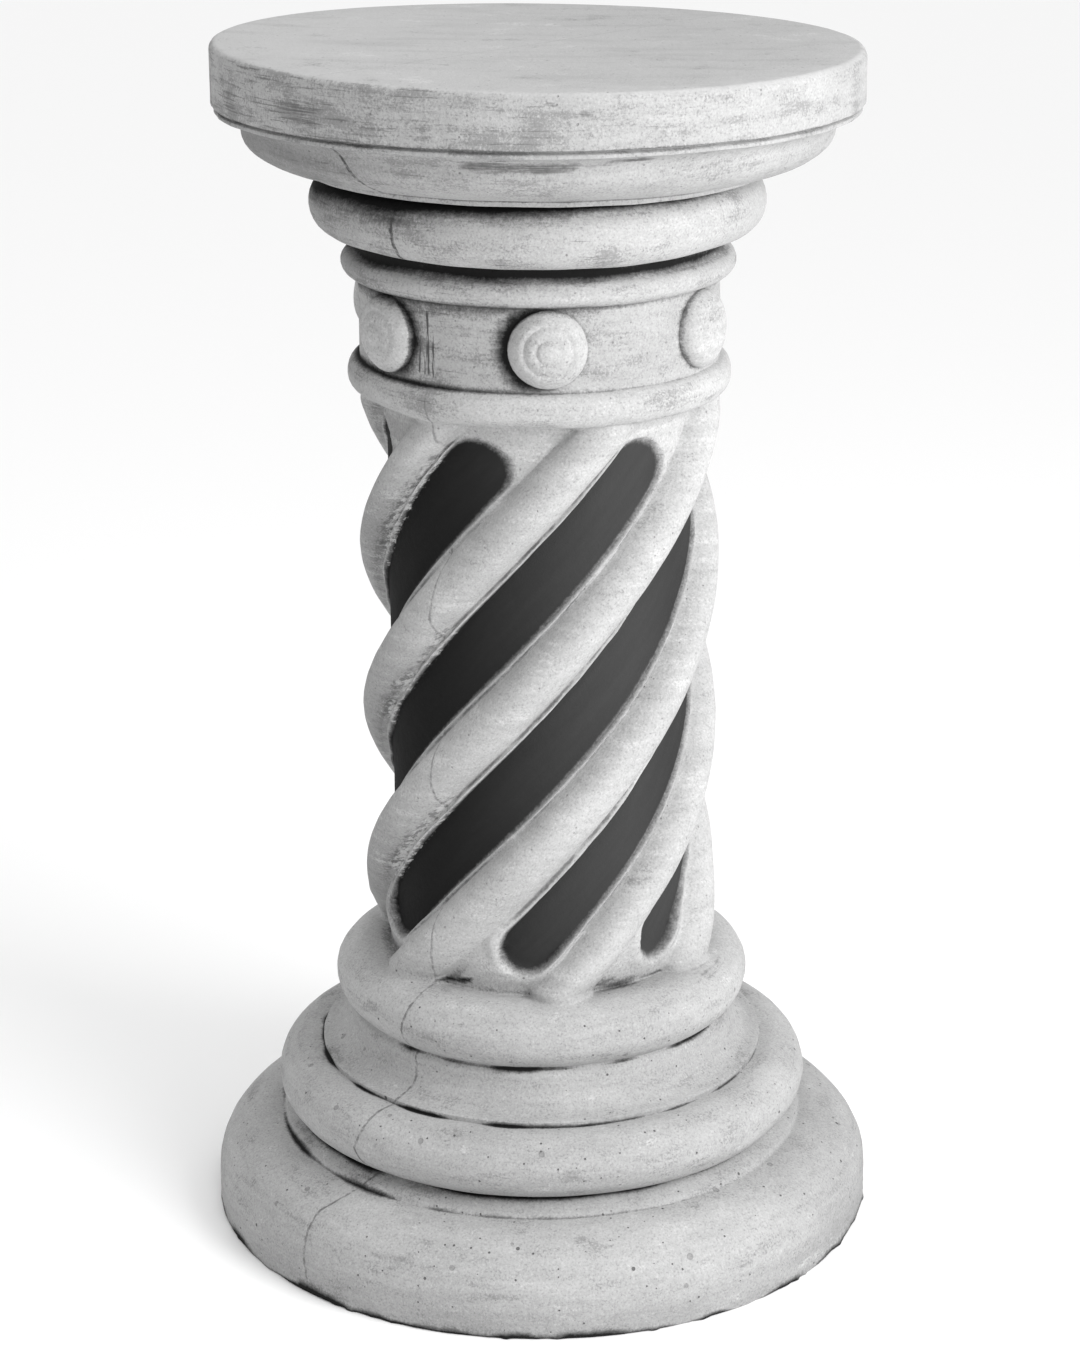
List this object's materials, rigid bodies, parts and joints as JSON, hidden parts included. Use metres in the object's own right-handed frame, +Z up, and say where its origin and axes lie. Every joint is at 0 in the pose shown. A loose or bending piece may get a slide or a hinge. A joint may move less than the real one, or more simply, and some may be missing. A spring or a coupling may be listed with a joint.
{
  "type": "decorative column",
  "caption": "Cast-stone garden column with a round slab top, rosette frieze, twisted ribs with sunk dark panels and a stepped round base.",
  "frame": {"origin": "centre of the underside, on the ground", "axes": "+Z up along the column's axis, -Y towards the front, +X to the right seen from the front"},
  "size_m": [0.398, 0.398, 0.7],
  "materials": {
    "cast_stone": "matt light grey cast stone with dark patina"
  },
  "bodies": {
    "root": {"column": "cast_stone"}
  },
  "joints": []
}
